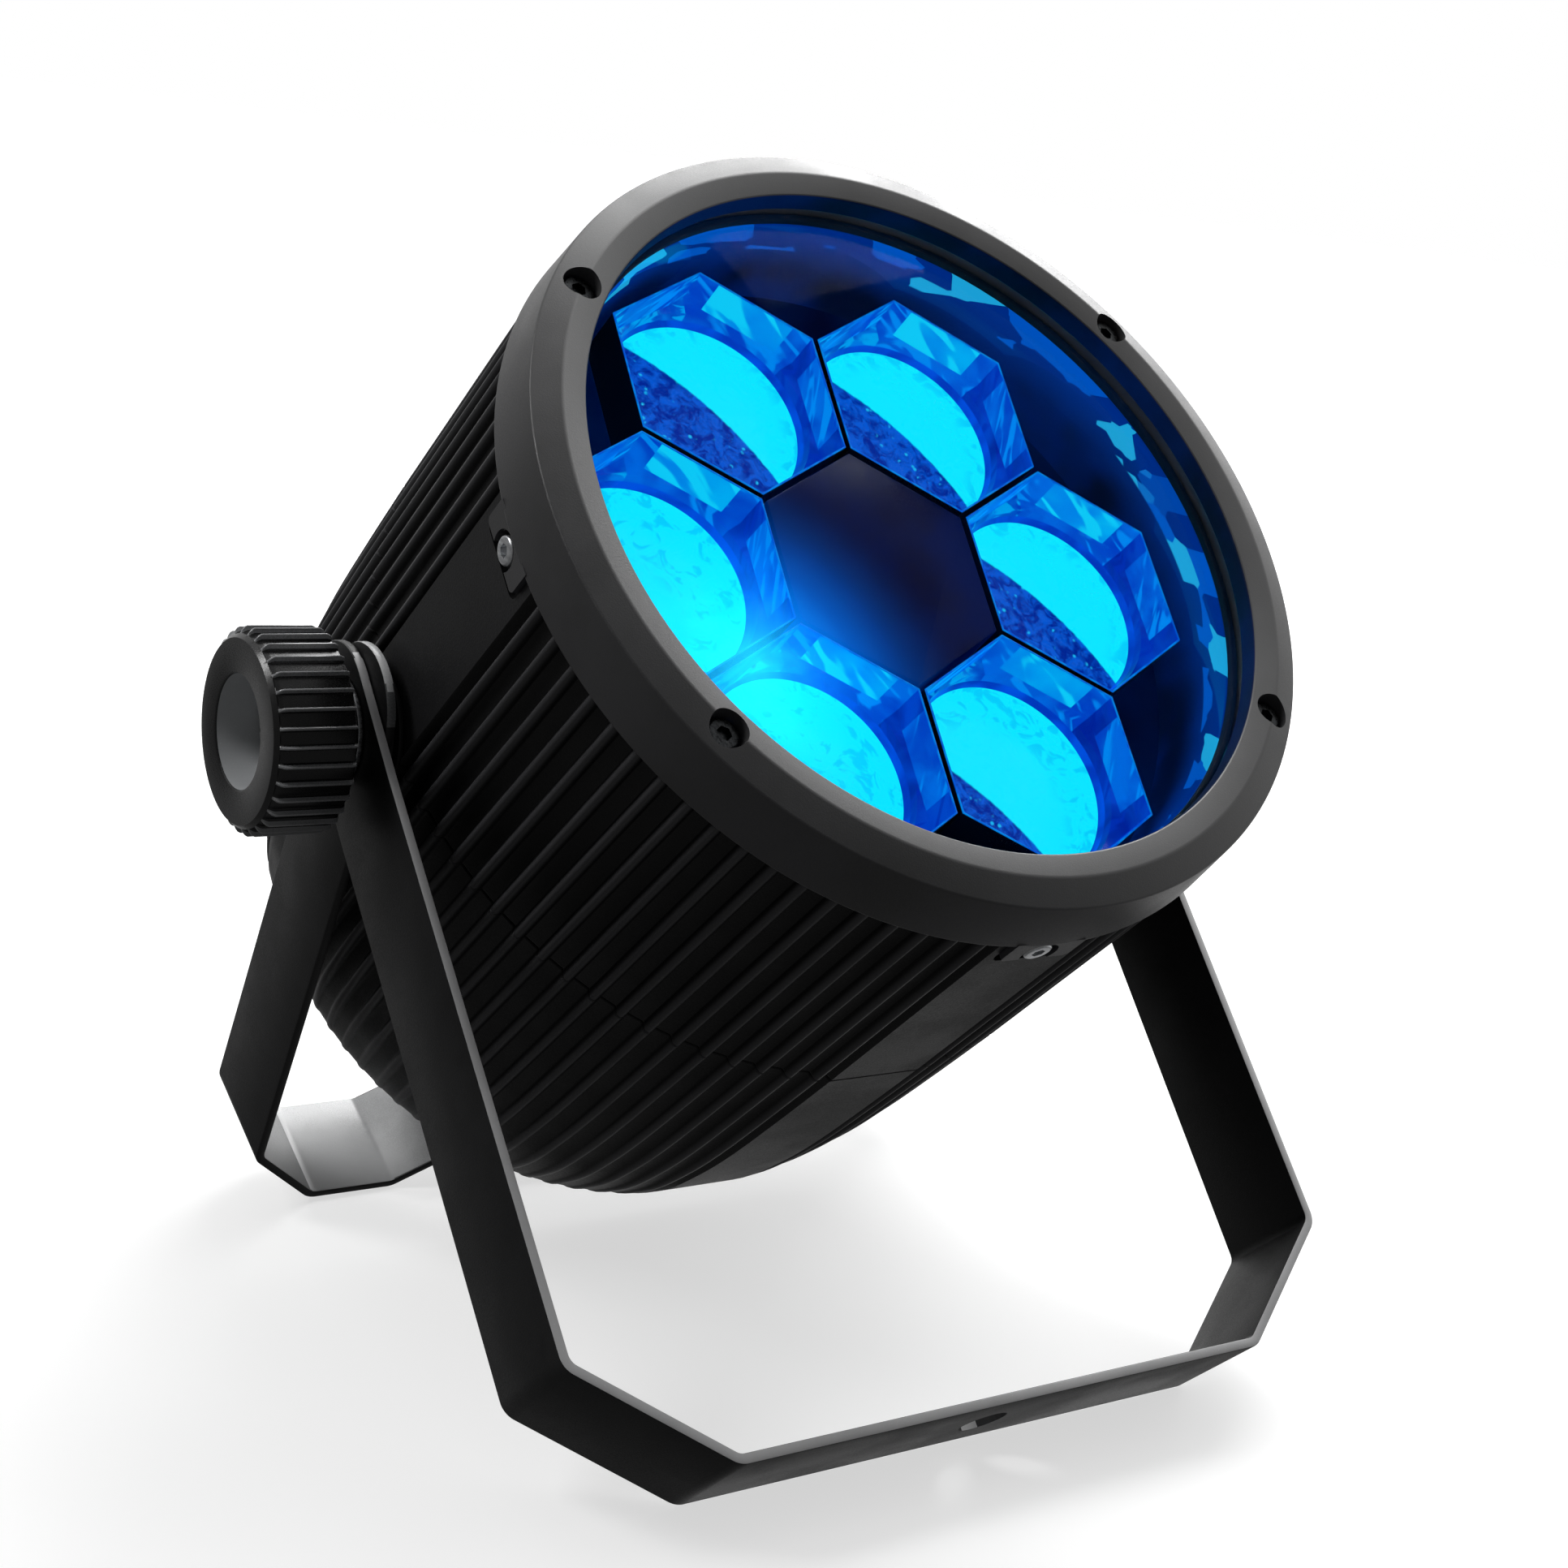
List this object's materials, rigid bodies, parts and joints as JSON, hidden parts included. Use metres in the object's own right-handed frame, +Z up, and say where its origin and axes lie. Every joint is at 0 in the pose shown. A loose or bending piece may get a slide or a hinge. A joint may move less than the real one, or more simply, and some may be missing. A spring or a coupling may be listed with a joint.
{
  "type": "par can light",
  "caption": "Ribbed par can stage light: a tilting lamp head with hexagonal lenses behind a screwed bezel, on a folding double yoke that stands or hangs.",
  "frame": {"origin": "on the floor, in the middle of the outline seen from above; the pivot axis is 3 mm behind it and 156.8 mm up", "axes": "+Z up, the lamp head looks towards -Y and upwards, +X to the right seen from the front, along the pivot axis"},
  "size_m": [0.2992, 0.3075, 0.3105],
  "materials": {
    "bracket_paint": "satin black powder coat on steel bar",
    "housing_cast": "satin black powder coat on ribbed cast aluminium",
    "panel_cast": "fine textured black paint",
    "bezel_paint": "matte dark grey powder coat on cast aluminium",
    "screw_steel": "zinc-plated",
    "clamp_steel": "zinc-plated",
    "cover_glass": "clear toughened",
    "gasket_rubber": "matte",
    "shroud_gloss": "glossy black",
    "holder_black": "matte black",
    "cap_gloss": "glossy black",
    "lens_clear": "clear moulded, lit blue-cyan",
    "board_metal": "white solder mask on aluminium core",
    "heatsink_metal": "as extruded",
    "fan_plastic": "moulded black",
    "driver_green": "glass-fibre board with parts",
    "display_gloss": "smoked window",
    "button_plastic": "moulded",
    "connector_plastic": "moulded",
    "knob_plastic": "satin moulded"
  },
  "bodies": {
    "front_bracket": {"front_bracket": "bracket_paint"},
    "rear_bracket": {"rear_bracket": "bracket_paint"},
    "head": {"pivot_boss_left": "bracket_paint", "pivot_boss_right": "bracket_paint", "front_housing": "housing_cast", "rear_housing": "housing_cast", "rear_panel": "panel_cast", "front_bezel": "bezel_paint", "bezel_screw_1": "screw_steel", "bezel_screw_2": "screw_steel", "bezel_screw_3": "screw_steel", "bezel_screw_4": "screw_steel", "tab_screw_right": "screw_steel", "tab_screw_top": "screw_steel", "tab_screw_left": "screw_steel", "tab_screw_bottom": "screw_steel", "panel_screw_1": "screw_steel", "panel_screw_2": "screw_steel", "panel_screw_3": "screw_steel", "panel_screw_4": "screw_steel", "pivot_nut_left": "clamp_steel", "pivot_nut_right": "clamp_steel", "front_glass": "cover_glass", "glass_gasket": "gasket_rubber", "inner_shroud": "shroud_gloss", "lens_holder": "holder_black", "centre_cap": "cap_gloss", "lens_1": "lens_clear", "lens_2": "lens_clear", "lens_3": "lens_clear", "lens_4": "lens_clear", "lens_5": "lens_clear", "lens_6": "lens_clear", "led_board": "board_metal", "heatsink": "heatsink_metal", "fan_frame": "fan_plastic", "driver_board": "driver_green", "display_window": "display_gloss", "power_inlet": "connector_plastic", "power_outlet": "connector_plastic", "data_in": "connector_plastic", "data_out": "connector_plastic", "fuse_cap": "connector_plastic"},
    "fan_rotor": {"fan_rotor": "fan_plastic"},
    "knob_left": {"knob_left": "knob_plastic", "knob_bolt_left": "clamp_steel", "pivot_washer_left": "clamp_steel"},
    "knob_right": {"knob_right": "knob_plastic", "knob_bolt_right": "clamp_steel", "pivot_washer_right": "clamp_steel"},
    "button_menu": {"button_menu": "button_plastic"},
    "button_down": {"button_down": "button_plastic"},
    "button_up": {"button_up": "button_plastic"},
    "button_enter": {"button_enter": "button_plastic"}
  },
  "joints": [
    {"name": "rear_bracket_fold", "type": "hinge", "parent": "front_bracket", "child": "rear_bracket", "pos_m": [0, 0.003, 0.15677], "axis": [1, 0, 0], "range_deg": [-69.5, 110.5]},
    {"name": "head_tilt", "type": "hinge", "parent": "front_bracket", "child": "head", "pos_m": [0, 0.003, 0.15677], "axis": [1, 0, 0], "range_deg": [-136, 134]},
    {"name": "knob_left_turn", "type": "hinge", "parent": "head", "child": "knob_left", "pos_m": [-0.13, 0.003, 0.15677], "axis": [-1, 0, 0], "range_deg": [-20, 360]},
    {"name": "knob_right_turn", "type": "hinge", "parent": "head", "child": "knob_right", "pos_m": [0.13, 0.003, 0.15677], "axis": [1, 0, 0], "range_deg": [-20, 360]},
    {"name": "fan_spin", "type": "hinge", "parent": "head", "child": "fan_rotor", "pos_m": [0, 0.003, 0.15677], "axis": [0, -0.7193, 0.6947], "continuous": true},
    {"name": "button_menu_press", "type": "slide", "parent": "head", "child": "button_menu", "axis": [0, -0.7193, 0.6947], "range_m": [0, 0.001], "stiffness_N_per_m": 500},
    {"name": "button_down_press", "type": "slide", "parent": "head", "child": "button_down", "axis": [0, -0.7193, 0.6947], "range_m": [0, 0.001], "stiffness_N_per_m": 500},
    {"name": "button_up_press", "type": "slide", "parent": "head", "child": "button_up", "axis": [0, -0.7193, 0.6947], "range_m": [0, 0.001], "stiffness_N_per_m": 500},
    {"name": "button_enter_press", "type": "slide", "parent": "head", "child": "button_enter", "axis": [0, -0.7193, 0.6947], "range_m": [0, 0.001], "stiffness_N_per_m": 500}
  ]
}
